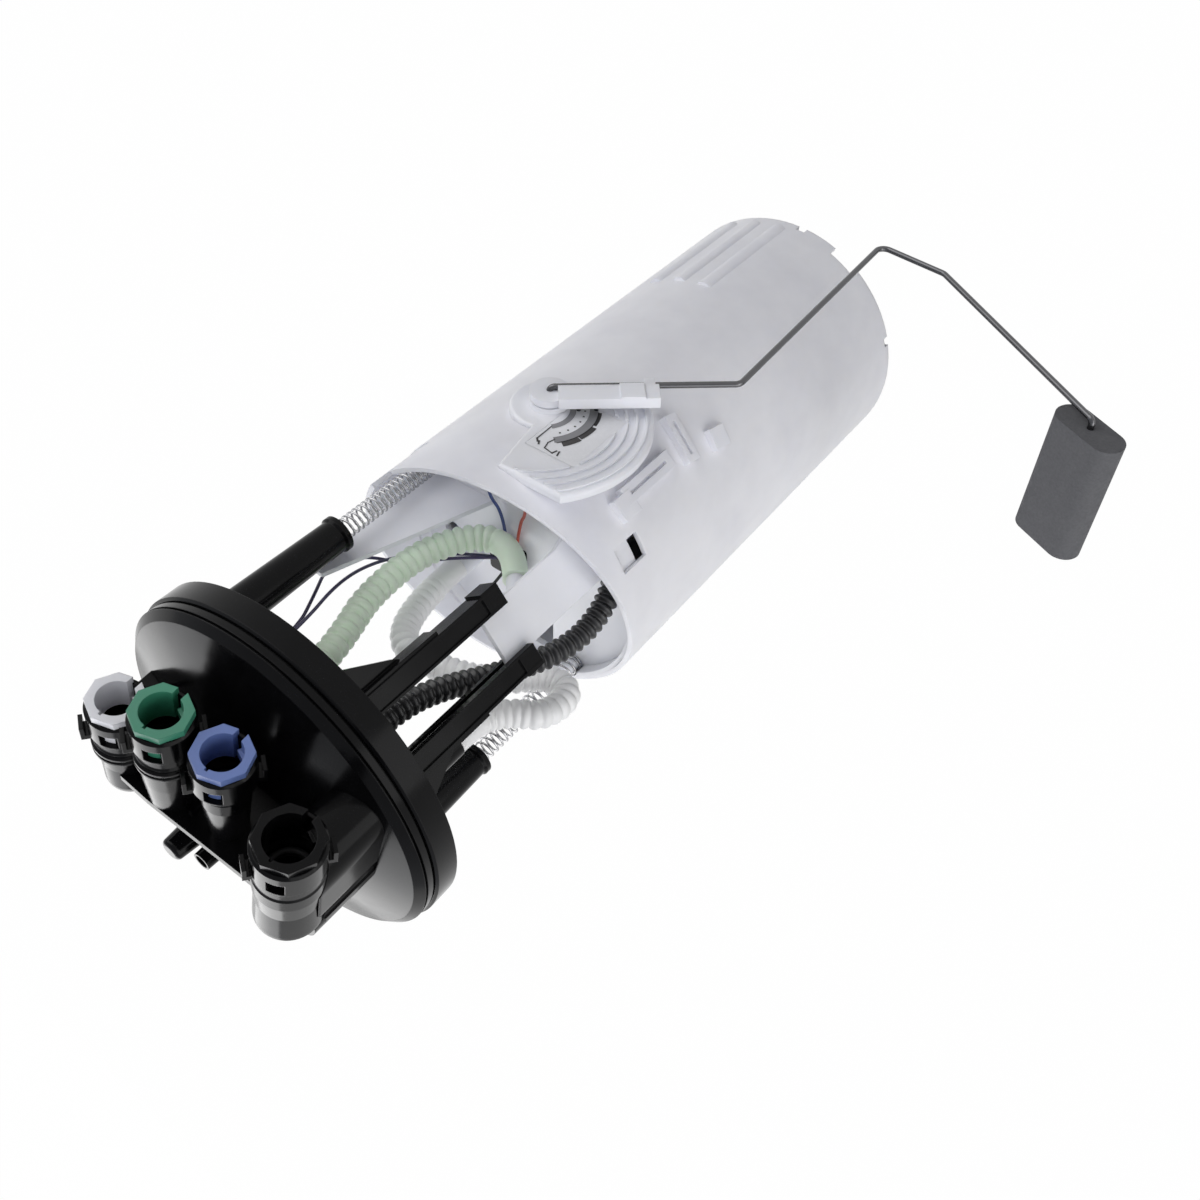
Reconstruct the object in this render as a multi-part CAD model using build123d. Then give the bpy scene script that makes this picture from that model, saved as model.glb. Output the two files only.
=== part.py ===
"""In-tank fuel pump module: flange with four quick connectors, sprung reservoir pot, pump and sender.

Frame: millimetres. Origin at the centre of the flange skirt's seat (z = 0). +Z points out of the tank,
towards the connectors; the pot hangs towards -Z. -Y is the side of the level sender's face.
"""
from build123d import *
import os
from math import atan2, cos, degrees, radians, sin, tan

# Flange cap
SKIRT_R = 68.0
SKIRT_H = 8.6
BAND_R = SKIRT_R - 1.0
BAND_TOP = 13.4
RIM_R = SKIRT_R - 4.0
RIM_Z = 16.0
CROWN_Z = 24.0
CAP_WALL = 3.0
GROOVE_DEPTH = 1.5
GROOVE_H = 0.9
UNDER_RIBS = 12
UNDER_RIB_T = 1.8
UNDER_RIB_IN = 12.0
NECK_RING_R = SKIRT_R - 10.0
NECK_RING_T = 2.5
FIT = 0.05          # clearance of pieces pressed or moulded into each other
RUN = 0.08          # radial running clearance of a shaft in its bore
PLAY = 0.3          # sliding clearance of moulded pieces

# Connector wall on the cap, turned about Z against the sender's direction
PORT_TURN = -13.0
WALL_FRONT = -10.0
WALL_T = 3.0
WALL_LEFT = 50.0
WALL_RIGHT = -50.0
WALL_Z = 50.0
WALL_Z_RIGHT = 46.5
DUCT_R = 5.0
WALL_RIBS = (45.0, 24.5, 4.5, -20.0)
WALL_RIB_T = 1.4

# Quick connectors: across the wall, height, mouth, collar, barrel and tail radius, pipe radius
PORTS = {
    "white": dict(x=34.5, z=43.0, mouth=-44.0, collar=9.6, barrel=9.0, tail=8.2, pipe=4.0),
    "green": dict(x=14.5, z=42.0, mouth=-60.0, collar=9.8, barrel=9.2, tail=7.8, pipe=4.0),
    "blue": dict(x=-6.0, z=38.5, mouth=-57.0, collar=9.8, barrel=7.6, tail=6.4, pipe=4.0),
    "black": dict(x=-39.0, z=45.0, mouth=-60.0, collar=11.0, barrel=10.9, tail=10.9, pipe=5.0),
}
PIPE_CLEARANCE = 0.1
COLLAR_H = 13.0
LATCH_STAND = 3.0   # how far a coloured latch stands out of its collar
LATCH_WALL = 1.9
LATCH_DEPTH = 11.0
LATCH_SLIT = -85.0
SEAL_SECTION = 1.15
EAR_TURN = 55.0     # clip ears of a collar, from across the wall towards +Z
TAIL_REACH = 18.0   # the white connector's elbow behind the wall
BOSS_FRONT = -39.5

# Electrical socket and vent nipples behind the wall
SOCKET_X = -25.0
SOCKET_Y = 18.0
SOCKET_L = 26.0
SOCKET_W = 18.0
SOCKET_WALL = 1.8
SOCKET_FLOOR = 25.5
SOCKET_TOP = 38.5
PIN_COUNT = 5
PIN_PITCH = 4.2
PIN_W = 1.6
PIN_T = 0.8
PIN_TOP = 31.5
NIPPLE_Y = 20.0
NIPPLES = ((11.0, 44.0), (1.0, 45.5))
NIPPLE_R = 4.0
NIPPLE_BORE = 2.6
NIPPLE_DEPTH = 14.0
CAP_TIP_Z = 50.0

# Reservoir pot
POT_R = 58.2
POT_WALL = 2.0
POT_BOTTOM = -313.0
POT_FLOOR = -304.0
FLOOR_T = 2.5
RIM_MEAN = -100.3
RIM_RISE = 13.8
RIM_AZ = -50.0
RIM_LEAN = degrees(atan2(RIM_RISE, POT_R))
FLUTE_TOP = -245.0
FLUTE_R = 4.0
FLUTE_STAND = 1.5
FLUTE_AZ = (-60.0, -72.5, -85.0)
FLUTE_FOOT = 6.0
WINDOW_AZ = -148.0
WINDOW_W = 10.0
WINDOW_Z = (-125.0, -112.0)
SPRING_NOTCH_AZ = -42.0
SPRING_NOTCH_Z = -108.0
SPRING_NOTCH_W = 18.0
CLIP_STAND = 3.0
CLIPS = ((-131.0, -141.5, 0.0, 7.0, 29.0), (-133.5, -126.0, 0.0, 9.0, 9.0), (-128.5, -166.5, 80.0, 6.0, 20.0),
         (-137.5, -183.0, 80.0, 8.5, 8.5))
CLIP_SLIT = 1.2
FOOT_TABS = {-118.0: (13.0, 5.0), -94.0: (4.0, 3.0), 20.0: (4.0, 3.0), 140.0: (4.0, 3.0), 200.0: (4.0, 3.0)}

# Guide tubes and springs: azimuth, inset of the axis from the pot's side, z of the tube's tip and of the lower seat
TUBES = {"upper": (-35.83, 7.63, -62.5, -122.0), "lower": (119.54, 6.48, -56.0, -118.0)}
TUBE_SEAT_Z = 6.0
TUBE_BORE_R = 4.7
TUBE_TIP_R = 6.3
TUBE_ROOT_R = 7.6
TUBE_LIP = 0.8
SPRING_R = 4.2
SPRING_WIRE = 0.9

# Guide rails and the pot's tongue between them
GUIDE_AZ = -142.0
GUIDE_R = POT_R - 12.2
TONGUE_HALF = 10.0
TONGUE_T = 2.2
TONGUE_TOP = -57.0
RAIL_TOP = 4.0
RAIL_TIP = -67.5
RAIL_INNER = 8.5
RAIL_DEPTH = 7.5
RAIL_WEB = 4.7
RAIL_FLANGE = 2.4
RAIL_RIDGE = 0.9
RAIL_FLARE = 8.0
GUSSET_T = 2.0
GUSSET_REACH = 13.5
GUSSET_DROP = 26.0

# Flange spigots: place, tip and radius
SPIGOTS = {"green": (15.0, -10.0, -8.0, 4.2), "cream": (-33.0, 10.0, -37.0, 5.4), "black": (-26.0, -21.0, -4.0, 3.8)}

# Pot cover
COVER_TOP = -118.0
COVER_T = 3.0
COVER_LIP = 5.0
COVER_WINDOW = (-14.0, 10.0, 29.5, 47.5)
HOSE_STUB_R = 4.9
HOSE_STUB_TOP = -104.2
SEAT_PEG_R = 3.0
SEAT_PEG_H = 8.0
FIN_Y = -20.0
FIN_T = 2.0
FIN_TIP_Z = -49.0
FIN_REACH = POT_R - 14.2
HOSE_NOTCH_R = 6.8
HOSE_NOTCH = (-43.5, -15.5)
LEAD_HOLE_R = 4.5
LEAD_HOLE = (38.0, 8.0)

# Pump and what carries it
PUMP_X, PUMP_Y = 0.0, 5.0
CAN_R = 19.0
CAN_WALL = 1.2
CAN_TOP = -150.0
CAN_BOTTOM = -262.0
CAP_H = 10.0
VALVE_H = 9.0
CAGE_WALL = 2.0
CAGE_LIP = 3.0
CAGE_ARMS = (30.0, 150.0, 270.0)
MAGNET_R = 17.6
MAGNET_T = 3.4
ARMATURE_R = 13.2
ARMATURE_TOP = -178.0
ARMATURE_BOTTOM = -236.0
SHAFT_R = 1.6
BEARING_R = 4.5
BEARING_H = 5.0
IMPELLER_R = 15.0
IMPELLER_T = 4.0
IMPELLER_VANES = 16
STRAINER_R = 25.0
STRAINER_T = 7.0
JET = (-42.0, -18.0)
JET_TOP = -134.3
REGULATOR = (22.0, 30.0)
REGULATOR_R = 9.0
REGULATOR_H = 24.0

# Level sender: pivot, arm and float
PIVOT_X, PIVOT_Z = 4.3, -139.7
PLATE_STAND = 1.6
PLATE_FRONT = -(POT_R + PLATE_STAND)
PLATE_T = 3.4
PLATE_X, PLATE_Z = 2.0, -129.0
PLATE_R = 43.0
PLATE_RIGHT = -3.0
PLATE_TOP = -101.0
PLATE_HUB_R = 15.0
PLATE_ROUND = 1.4
PLATE_OVERHANG = 12.0
CARD_X = (-25.0, -3.4)
CARD_Z = (-147.5, -116.0)
CARD_T = 0.8
CARD_RECESS = 0.9
RIB_RADII = (30.0, 33.6, 37.2, 40.8)
RIB_T = 1.1
RIB_H = 0.9
BOSS_R = 7.5
BOSS_H = 2.4
WIRE_R = 1.2
WIRE_Y = PLATE_FRONT - 7.2
WIRE_BEND = 4.0
ARM_BENDS = ((-49.7, -184.7), (-44.7, -306.0), (-75.7, -303.0), (-161.5, -246.0))
BAR_FROM = 3.0
BAR_L = 40.0
BAR_W = 8.6
BAR_T = 4.4
CLIP_X = 34.5
CLIP_L = 4.2
FINGERS = (10.5, 17.0)
FLOAT_LONG = 30.0
FLOAT_THICK = 14.0
FLOAT_LEN = 53.0
FLOAT_NEAR = -63.5
FLOAT_LEAN = 154.0
LOCK_R = 3.2
LOCK_T = 0.8

# Hoses and wires: outer radius and route
HOSE_R = 5.5
BLACK_HOSE_R = 4.6
LEAD_R = 0.8
CORDS = {
    "hose_green": (HOSE_R, [(15, -10, -8), (15, -10, -22), (19, -10, -40), (25.5, -10, -58), (26, -10, -88),
                            (14, -10, -109), (-2, -10, -110), (-12, -10, -98)]),
    "hose_cream": (HOSE_R, [(24, 10, -104), (23, 10, -78), (13, 10, -58), (-8, 10, -60), (-25, 12, -68),
                            (-37, 15, -85), (-50, 15, -84), (-50, 13, -68), (-39, 11, -60), (-33, 10, -50),
                            (-33, 10, -37)]),
    "hose_black": (BLACK_HOSE_R, [(-26, -21, -4), (-26, -21, -18), (-28, -17, -36), (-36, -8, -60), (-46, -5, -86),
                                  (-47, -9, -106), (-42, -18, -123), (-42, -18, -134)]),
    "lead_purple_a": (LEAD_R, [(26, -15, 18.8), (26, -19, -24), (35, -18, -42), (44, -15, -56), (40, -13, -70),
                               (33, -2, -84), (20, 0, -101), (9, 1.5, -111.4)]),
    "lead_purple_b": (LEAD_R, [(24, -17.5, 18.9), (25, -21, -26), (33, -18, -52), (35.5, -10, -74), (32, 0, -94),
                               (20, 1, -105), (11, 2, -111.4)]),
    "lead_black": (LEAD_R, [(21, -1, 19.5), (19, 4, -26), (12, 18, -52), (6, 17, -84), (5, 6, -111.4)]),
    "lead_blue": (LEAD_R, [(8, -2.6, -116.5), (9, -18, -116.6), (14, -28, -113.5), (12, -40, -113.5),
                           (8, -53, -115.5)]),
    "lead_red": (LEAD_R, [(3, -2.6, -116.5), (1, -18, -116.6), (-5, -28, -113.5), (-4, -40, -113.5),
                          (0, -53.6, -115.5)]),
}

RISER_X = -23.0
RISER_R = 5.0
RISER_TOP = -82.0
NOZZLE_R = 3.6

guide = Rot(0, 0, GUIDE_AZ)
port_frame = Rot(0, 0, PORT_TURN)
pump = Pos(PUMP_X, PUMP_Y, 0)


def disc(radius, low, high, x=0.0, y=0.0):
    """Round bar about a vertical axis, from low to high."""
    return Pos(x, y, low) * extrude(Circle(radius), high - low)


def ring(outer, inner, low, high, x=0.0, y=0.0):
    """Round sleeve about a vertical axis."""
    return Pos(x, y, low) * extrude(Circle(outer) - Circle(inner), high - low)


def block(x0, x1, y0, y1, z0, z1):
    """Box between two corners."""
    return Pos((x0 + x1) / 2, (y0 + y1) / 2, (z0 + z1) / 2) * Box(x1 - x0, y1 - y0, z1 - z0)


def turned(points):
    """Solid turned about Z from a closed outline of radius and height."""
    return revolve(Plane.XZ * make_face(Polyline(*points, close=True)), Axis.Z)


def one(shape):
    """The largest solid of a shape whose cuts left loose crumbs."""
    return max(shape.solids(), key=lambda solid: solid.volume)


def save(name, shape):
    """Write one sub-part."""
    shape.label = name
    export_step(shape, f"parts/{name}.step")


def dome_height(radius, inset=0.0):
    """Height of the domed face, a shallow sphere through the rim and the crown, or of a shell inside it."""
    rise = CROWN_Z - RIM_Z
    sphere = (RIM_R ** 2 + rise ** 2) / (2 * rise)
    return CROWN_Z - sphere + ((sphere - inset) ** 2 - radius ** 2) ** 0.5


def domed(edge, inset=0.0):
    """Solid turned from an outline of points, closed over its last point by the dome."""
    last = edge[-1]
    mid, crown = (last[0] / 2, dome_height(last[0] / 2, inset)), (0, dome_height(0, inset))
    outline = Polyline(*edge) + ThreePointArc(last, mid, crown) + Line(crown, edge[0])
    return revolve(Plane.XZ * make_face(outline), Axis.Z)


def cap_solid():
    """The cap's outer form as a full solid: skirt, band, bevel and domed face."""
    return domed([(0, 0), (SKIRT_R, 0), (SKIRT_R, SKIRT_H), (BAND_R, SKIRT_H + 0.6), (BAND_R, BAND_TOP),
                  (RIM_R, RIM_Z)])


def cap_void():
    """The hollow under the cap: one wall inside the outer form."""
    inner = RIM_R - CAP_WALL
    side = SKIRT_R - CAP_WALL
    return domed([(0, -1), (side, -1), (side, SKIRT_H), (inner, dome_height(inner, CAP_WALL))], CAP_WALL)


def along_port(name, shape):
    """Put a shape modelled along +Z on a connector's axis, with z = 0 on the wall's front."""
    port = PORTS[name]
    return port_frame * Pos(port["x"], WALL_FRONT, port["z"]) * Rot(90, 0, 0) * shape


def connector_wall():
    """Wall that carries the connectors, with a rounded boss under the black one and a duct behind each."""
    outline = Polyline((WALL_LEFT + 4, 0), (WALL_LEFT + 2, 28), (WALL_LEFT - 5, WALL_Z - 3), (WALL_LEFT - 12, WALL_Z),
                       (18, WALL_Z), (-28, WALL_Z_RIGHT + 0.8), (WALL_RIGHT + 6, WALL_Z_RIGHT),
                       (WALL_RIGHT, WALL_Z_RIGHT - 6), (WALL_RIGHT, 0), close=True)
    wall = Pos(0, WALL_FRONT, 0) * Rot(90, 0, 0) * extrude(make_face(outline), -WALL_T)
    black = PORTS["black"]
    width = 2 * black["barrel"]
    depth = WALL_FRONT - BOSS_FRONT
    wall += Pos(black["x"], (WALL_FRONT + BOSS_FRONT) / 2, 0) * extrude(
        RectangleRounded(width, depth + 2 * WALL_T, width / 2 - 0.5), black["z"])
    wall += disc(black["barrel"], 0, black["z"], black["x"], WALL_FRONT + WALL_T)
    for name, port in PORTS.items():
        if name != "black":
            wall += disc(DUCT_R, 0, port["z"] - 1.5, port["x"], WALL_FRONT + WALL_T + DUCT_R / 2)
    for x in WALL_RIBS:
        wall += block(x - WALL_RIB_T / 2, x + WALL_RIB_T / 2, WALL_FRONT - 1.6, WALL_FRONT, 0, WALL_Z_RIGHT - 2)
    wall = port_frame * wall - cap_solid()
    for name, port in PORTS.items():
        if name == "white":
            wall -= along_port(name, disc(port["tail"] + FIT, -TAIL_REACH - 12, WALL_T))
        elif name == "black":
            wall -= along_port(name, disc(port["barrel"] + FIT, 0, -port["mouth"]))
        else:
            wall -= along_port(name, disc(port["tail"] + FIT, 0, -port["mouth"]))
    return one(wall)


def nipples():
    """Two vent nipples behind the wall, as full cones."""
    cones = [Pos(x, NIPPLE_Y, top / 2) * Cone(NIPPLE_R + 0.8, NIPPLE_R - 0.5, top) for x, top in NIPPLES]
    return cones[0] + cones[1]


def flange_cap():
    """Cap: domed cover with grooved skirt, vent nipples, ribs, bosses and spigots under it."""
    outer = cap_solid()
    cap = outer + port_frame * nipples() - cap_void()
    for z in (SKIRT_H + 0.6, BAND_TOP - GROOVE_H):
        cap -= ring(SKIRT_R + 2, BAND_R - GROOVE_DEPTH, z, z + GROOVE_H)
    for x, top in NIPPLES:
        cap -= port_frame * disc(NIPPLE_BORE, top - NIPPLE_DEPTH, top + 1, x, NIPPLE_Y)
    under = ring(NECK_RING_R, NECK_RING_R - NECK_RING_T, 1.0, RIM_Z)
    for i in range(UNDER_RIBS):
        rib = block(UNDER_RIB_IN, NECK_RING_R - 1, -UNDER_RIB_T / 2, UNDER_RIB_T / 2, TUBE_SEAT_Z, CROWN_Z)
        under += Rot(0, 0, (i + 0.5) * 360 / UNDER_RIBS) * rib
    for name in TUBES:
        under += tube_place(name) * disc(TUBE_ROOT_R + 1.5, TUBE_SEAT_Z, CROWN_Z)
    reach = RAIL_INNER + RAIL_DEPTH + 4
    under += guide * block(GUIDE_R - 6, GUIDE_R + 6, -reach, reach, RAIL_TOP, CROWN_Z)
    for x, y, tip, radius in SPIGOTS.values():
        under += disc(radius, 0, CROWN_Z, x, y)
    for name in TUBES:
        under -= tube_place(name) * disc(TUBE_ROOT_R + PLAY, -1, TUBE_SEAT_Z)
    cap += under & outer
    for x, y, tip, radius in SPIGOTS.values():
        cap += disc(radius, tip, 1, x, y)
    return one(cap)


def tube_place(name):
    """Place of a guide tube's axis, set in from the pot's side."""
    azimuth, inset, tip, seat = TUBES[name]
    return Rot(0, 0, azimuth) * Pos(POT_R - inset, 0, 0)


def port_body(name):
    """Quick-connector body: tapered barrel with ring ridges, collar with windows and clip ears, stepped bore."""
    port = PORTS[name]
    length = WALL_FRONT - port["mouth"] - LATCH_STAND
    neck = length - COLLAR_H - 4
    barrel, tail, collar = port["barrel"], port["tail"], port["collar"]
    outline = [(0, 0), (tail, 0), (tail, 1.5), (barrel - 0.5, neck / 2), (barrel, neck - 6), (barrel, neck)]
    if name in ("white", "green"):
        for step in range(2):
            z = neck - 5.5 + 2.6 * step
            outline[-1:-1] = [(barrel, z), (barrel + 0.7, z + 0.4), (barrel + 0.7, z + 1.4), (barrel, z + 1.8)]
    outline += [(barrel - 0.4, neck + 1), (barrel - 0.4, length - COLLAR_H), (collar, length - COLLAR_H + 1.5),
                (collar, length - 0.8), (collar - 0.8, length), (0, length)]
    body = turned(outline)
    if name == "white":
        body += disc(tail, -TAIL_REACH + tail, 1)
        body += Pos(0, 0, -TAIL_REACH + tail) * Sphere(tail)
    pipe = port["pipe"] + PIPE_CLEARANCE
    seal = pipe + 2 * SEAL_SECTION
    pocket = collar - 0.9 * LATCH_WALL
    body -= disc(pipe, length - LATCH_DEPTH - 26, length + 1)
    body -= disc(seal, length - LATCH_DEPTH - 10, length + 1)
    body -= disc(pocket, length - LATCH_DEPTH, length + 1)
    for side in (-1, 1):
        window = block(2.2, 7.0, pipe + 2, collar + 1, length - COLLAR_H + 2.4, length - 4.5)
        body -= window if side > 0 else mirror(window, Plane.YZ)
        low = length - COLLAR_H - 1
        ear = block(collar - 1.2, collar + 2.2, -2.6, 2.6, low, low + 2.2)
        ear += block(collar + 0.9, collar + 2.2, -2.6, 2.6, low, low + 6.5)
        body += Rot(0, 0, EAR_TURN + (0 if side > 0 else 180)) * ear
    return along_port(name, one(body))


def port_latch(name):
    """Coloured latch in a connector's mouth: eight-sided lip with a slit, on a split sleeve."""
    port = PORTS[name]
    length = WALL_FRONT - port["mouth"] - LATCH_STAND
    pocket = port["collar"] - 0.9 * LATCH_WALL - FIT
    inner = pocket - LATCH_WALL
    lip = extrude(RegularPolygon(port["collar"] - 0.5, 8), LATCH_STAND)
    latch = Pos(0, 0, length) * lip + disc(pocket, length - LATCH_DEPTH, length)
    latch -= disc(inner, length - LATCH_DEPTH - 1, length + LATCH_STAND + 1)
    latch -= Rot(0, 0, LATCH_SLIT) * block(inner - 3, 20, -1.6, 1.6, length - LATCH_DEPTH - 1, length + LATCH_STAND + 1)
    for turn in (70, 250):
        latch += Rot(0, 0, turn) * block(inner - 1.1, inner + 0.4, -2, 2, length - 7, length - 3)
        latch -= Rot(0, 0, turn + 28) * block(inner - 1, inner + 0.9, -0.5, 0.5, length - 8, length + LATCH_STAND + 1)
    return along_port(name, one(latch))


def port_seals():
    """One seal ring in each connector's stepped bore."""
    rings = []
    for name, port in PORTS.items():
        length = WALL_FRONT - port["mouth"] - LATCH_STAND
        middle = port["pipe"] + PIPE_CLEARANCE + SEAL_SECTION
        seal = Pos(0, 0, length - LATCH_DEPTH - 10 + SEAL_SECTION) * Torus(middle, SEAL_SECTION - FIT / 2)
        rings.append(along_port(name, seal))
    return Compound(children=rings)


def socket():
    """Shroud of the electrical socket, seated on the domed face behind the wall."""
    base = Pos(SOCKET_X, SOCKET_Y, 0) * extrude(RectangleRounded(SOCKET_L, SOCKET_W, 4), SOCKET_TOP)
    inner = RectangleRounded(SOCKET_L - 2 * SOCKET_WALL, SOCKET_W - 2 * SOCKET_WALL, 4 - SOCKET_WALL)
    base -= Pos(SOCKET_X, SOCKET_Y, SOCKET_FLOOR) * extrude(inner, SOCKET_TOP)
    rib_y = SOCKET_Y - SOCKET_W / 2
    base += block(SOCKET_X - 3, SOCKET_X + 3, rib_y - 1.5, rib_y, 0, SOCKET_TOP - 2)
    return one(port_frame * base - cap_solid())


def socket_pins():
    """Row of flat terminals standing on the socket's floor."""
    row = []
    for i in range(PIN_COUNT):
        x = SOCKET_X + (i - (PIN_COUNT - 1) / 2) * PIN_PITCH
        pin = block(x - PIN_W / 2, x + PIN_W / 2, SOCKET_Y - PIN_T / 2, SOCKET_Y + PIN_T / 2, SOCKET_FLOOR, PIN_TOP)
        row.append(port_frame * pin)
    return Compound(children=row)


def nipple_cap():
    """Tapered cap pushed over the first vent nipple."""
    x, top = NIPPLES[0]
    body = Cone(NIPPLE_R + 1.3, NIPPLE_R + 0.2, 14, align=(Align.CENTER, Align.CENTER, Align.MIN))
    body = Pos(x, NIPPLE_Y, CAP_TIP_Z - 14) * body
    body = fillet(body.edges().group_by(Axis.Z)[-1], 1.8)
    return one(port_frame * body - (port_frame * nipples()))


def guide_tube(name):
    """Tapered tube that houses the upper part of a spring, with a lip at its tip."""
    tip = TUBES[name][2]
    outline = [(TUBE_BORE_R, tip), (TUBE_TIP_R + TUBE_LIP, tip), (TUBE_TIP_R + TUBE_LIP, tip + 2),
               (TUBE_TIP_R, tip + 3), (TUBE_ROOT_R, TUBE_SEAT_Z), (TUBE_BORE_R, TUBE_SEAT_Z)]
    return tube_place(name) * turned(outline)


def spring(name):
    """Outer form of a compression spring; its turns are finer than the model's facets allow."""
    seat = TUBES[name][3]
    return tube_place(name) * ring(SPRING_R, SPRING_R - SPRING_WIRE, seat, TUBE_SEAT_Z)


def guide_rail(side):
    """C-shaped rail that holds one edge of the tongue, ridged and flared at its tip, with a gusset under the cap."""
    half = TONGUE_T / 2 + PLAY
    outer = half + RAIL_FLANGE
    back = RAIL_INNER + RAIL_DEPTH
    rail = block(GUIDE_R - outer, GUIDE_R + outer, RAIL_INNER, back, RAIL_TIP, RAIL_TOP)
    rail += block(GUIDE_R - outer - 0.8, GUIDE_R + outer + 0.8, RAIL_INNER, back + 0.8, RAIL_TIP,
                  RAIL_TIP + RAIL_FLARE)
    for y in (RAIL_INNER, back - RAIL_RIDGE):
        rail += block(GUIDE_R, GUIDE_R + outer + RAIL_RIDGE, y, y + RAIL_RIDGE, RAIL_TIP, RAIL_TOP / 2)
    rail -= block(GUIDE_R - half, GUIDE_R + half, RAIL_INNER - 1, back - RAIL_WEB, RAIL_TIP - 1, RAIL_TOP + 1)
    top = RAIL_TOP / 2
    plate = make_face(Polyline((back, -GUSSET_DROP), (back + 0.2 * GUSSET_REACH, -0.85 * GUSSET_DROP),
                               (back + GUSSET_REACH, 0), (back + GUSSET_REACH, top), (back, top), close=True))
    rail += Pos(GUIDE_R + GUSSET_T / 2, 0, 0) * extrude(Plane.YZ * plate, -GUSSET_T)
    rail += block(GUIDE_R - outer, GUIDE_R + outer, back - 0.5, back + 1.2, -1.5 * GUSSET_DROP, top)
    if side == "right":
        rail = mirror(rail, Plane.XZ)
    return guide * rail


def rim_cutter():
    """Half space above the pot's slanting rim."""
    lean = Rot(0, 0, RIM_AZ) * Pos(0, 0, RIM_MEAN) * Rot(0, -RIM_LEAN, 0)
    return lean * (Pos(0, 0, 2 * POT_R) * Box(5 * POT_R, 5 * POT_R, 4 * POT_R))


def side_cut(azimuth, width, low, high):
    """Block through the pot's side at an azimuth."""
    return Rot(0, 0, azimuth) * block(POT_R - 8, POT_R + 8, -width / 2, width / 2, low, high)


def pot():
    """Reservoir pot: thin cup with a slanting rim, flutes, wire clips, notched foot and a window for the hose."""
    high = RIM_MEAN + 3 * RIM_RISE
    cup = ring(POT_R, POT_R - POT_WALL, POT_BOTTOM, high)
    cup += disc(POT_R - POT_WALL, POT_FLOOR, POT_FLOOR + FLOOR_T)
    inner = disc(POT_R - POT_WALL / 2, POT_BOTTOM, high)
    for azimuth in FLUTE_AZ:
        flute = disc(FLUTE_R, POT_BOTTOM + FLUTE_FOOT, FLUTE_TOP, POT_R - FLUTE_R + FLUTE_STAND, 0)
        cup += Rot(0, 0, azimuth) * flute - inner
    for azimuth, height, turn, width, length in CLIPS:
        place = Rot(0, 0, azimuth) * Pos(POT_R, 0, height) * Rot(turn, 0, 0)
        clip = place * Box(2 * CLIP_STAND, width, length)
        if length > 2 * width:
            clip -= place * Pos(CLIP_STAND, 0, 0) * Box(CLIP_STAND, CLIP_SLIT, length - width)
        cup += clip - inner
    cup -= rim_cutter()
    cup -= side_cut(SPRING_NOTCH_AZ, SPRING_NOTCH_W, SPRING_NOTCH_Z, high)
    cup -= side_cut(WINDOW_AZ, WINDOW_W, *WINDOW_Z)
    for azimuth, (width, height) in FOOT_TABS.items():
        cup -= side_cut(azimuth, width, POT_BOTTOM - 1, POT_BOTTOM + height)
    return one(cup)


def pot_cover():
    """Cover plate in the pot: guide tongue, spring pegs, tapered fin, hose stub, window and the pump's cage."""
    radius = POT_R - POT_WALL - FIT
    low = COVER_TOP - COVER_T
    cover = disc(radius, low, COVER_TOP) + ring(radius, radius - 2, COVER_TOP, COVER_TOP + COVER_LIP)
    for name, (azimuth, inset, tip, seat) in TUBES.items():
        place = tube_place(name)
        cover += place * disc(SEAT_PEG_R + 3.2, seat - 6, seat) & disc(radius, seat - 6, seat)
        cover -= place * disc(SPRING_R + PLAY, seat, tip)
        cover += place * disc(SEAT_PEG_R, seat - 1, seat + SEAT_PEG_H)
    tongue = Polyline((-TONGUE_HALF, TONGUE_TOP), (TONGUE_HALF, TONGUE_TOP), (TONGUE_HALF, COVER_TOP + 20),
                      (TONGUE_HALF + 7, low), (-TONGUE_HALF, low), close=True)
    cover += guide * Pos(GUIDE_R + TONGUE_T / 2, 0, 0) * extrude(Plane.YZ * make_face(tongue), -TONGUE_T)
    fin = make_face(Polyline((FIN_REACH, FIN_TIP_Z), (FIN_REACH - 6, FIN_TIP_Z), (FIN_REACH - 30, low),
                             (FIN_REACH + 2, low), close=True))
    cover += Pos(0, FIN_Y + FIN_T / 2, 0) * extrude(Plane.XZ * fin, FIN_T)
    stub_x, stub_y = CORDS["hose_cream"][1][0][:2]
    cover += disc(HOSE_STUB_R, low, HOSE_STUB_TOP, stub_x, stub_y)
    cover -= disc(HOSE_NOTCH_R, low - 1, COVER_TOP + 1, *HOSE_NOTCH)
    cover -= disc(LEAD_HOLE_R, low - 1, COVER_TOP + 1, *LEAD_HOLE)
    cover -= block(*COVER_WINDOW, low - 1, COVER_TOP + 1)
    bottom = CAN_BOTTOM - CAP_H - CAGE_LIP
    cage = ring(CAN_R + FIT + CAGE_WALL, CAN_R + FIT, bottom, low)
    cage += ring(CAN_R + CAGE_WALL, CAN_R - 5, bottom, bottom + CAGE_LIP)
    for i in range(4):
        slot = block(CAN_R - 3, CAN_R + 6, -7, 7, CAN_BOTTOM + 10, CAN_TOP - 15)
        cage -= Rot(0, 0, 45 + 90 * i) * slot
    cover += pump * cage
    reach = radius - 10
    for azimuth in CAGE_ARMS:
        arm = block(CAN_R + 1, reach, -1, 1, low - 14, low)
        cover += pump * Rot(0, 0, azimuth) * arm
    return one(cover & disc(radius, bottom, TONGUE_TOP + 50))


def pump_can():
    """Rolled steel can of the pump motor, with its ends turned in."""
    return pump * turned([(CAN_R - CAN_WALL, CAN_BOTTOM), (CAN_R, CAN_BOTTOM), (CAN_R, CAN_TOP),
                          (CAN_R - CAN_WALL, CAN_TOP)])


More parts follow.
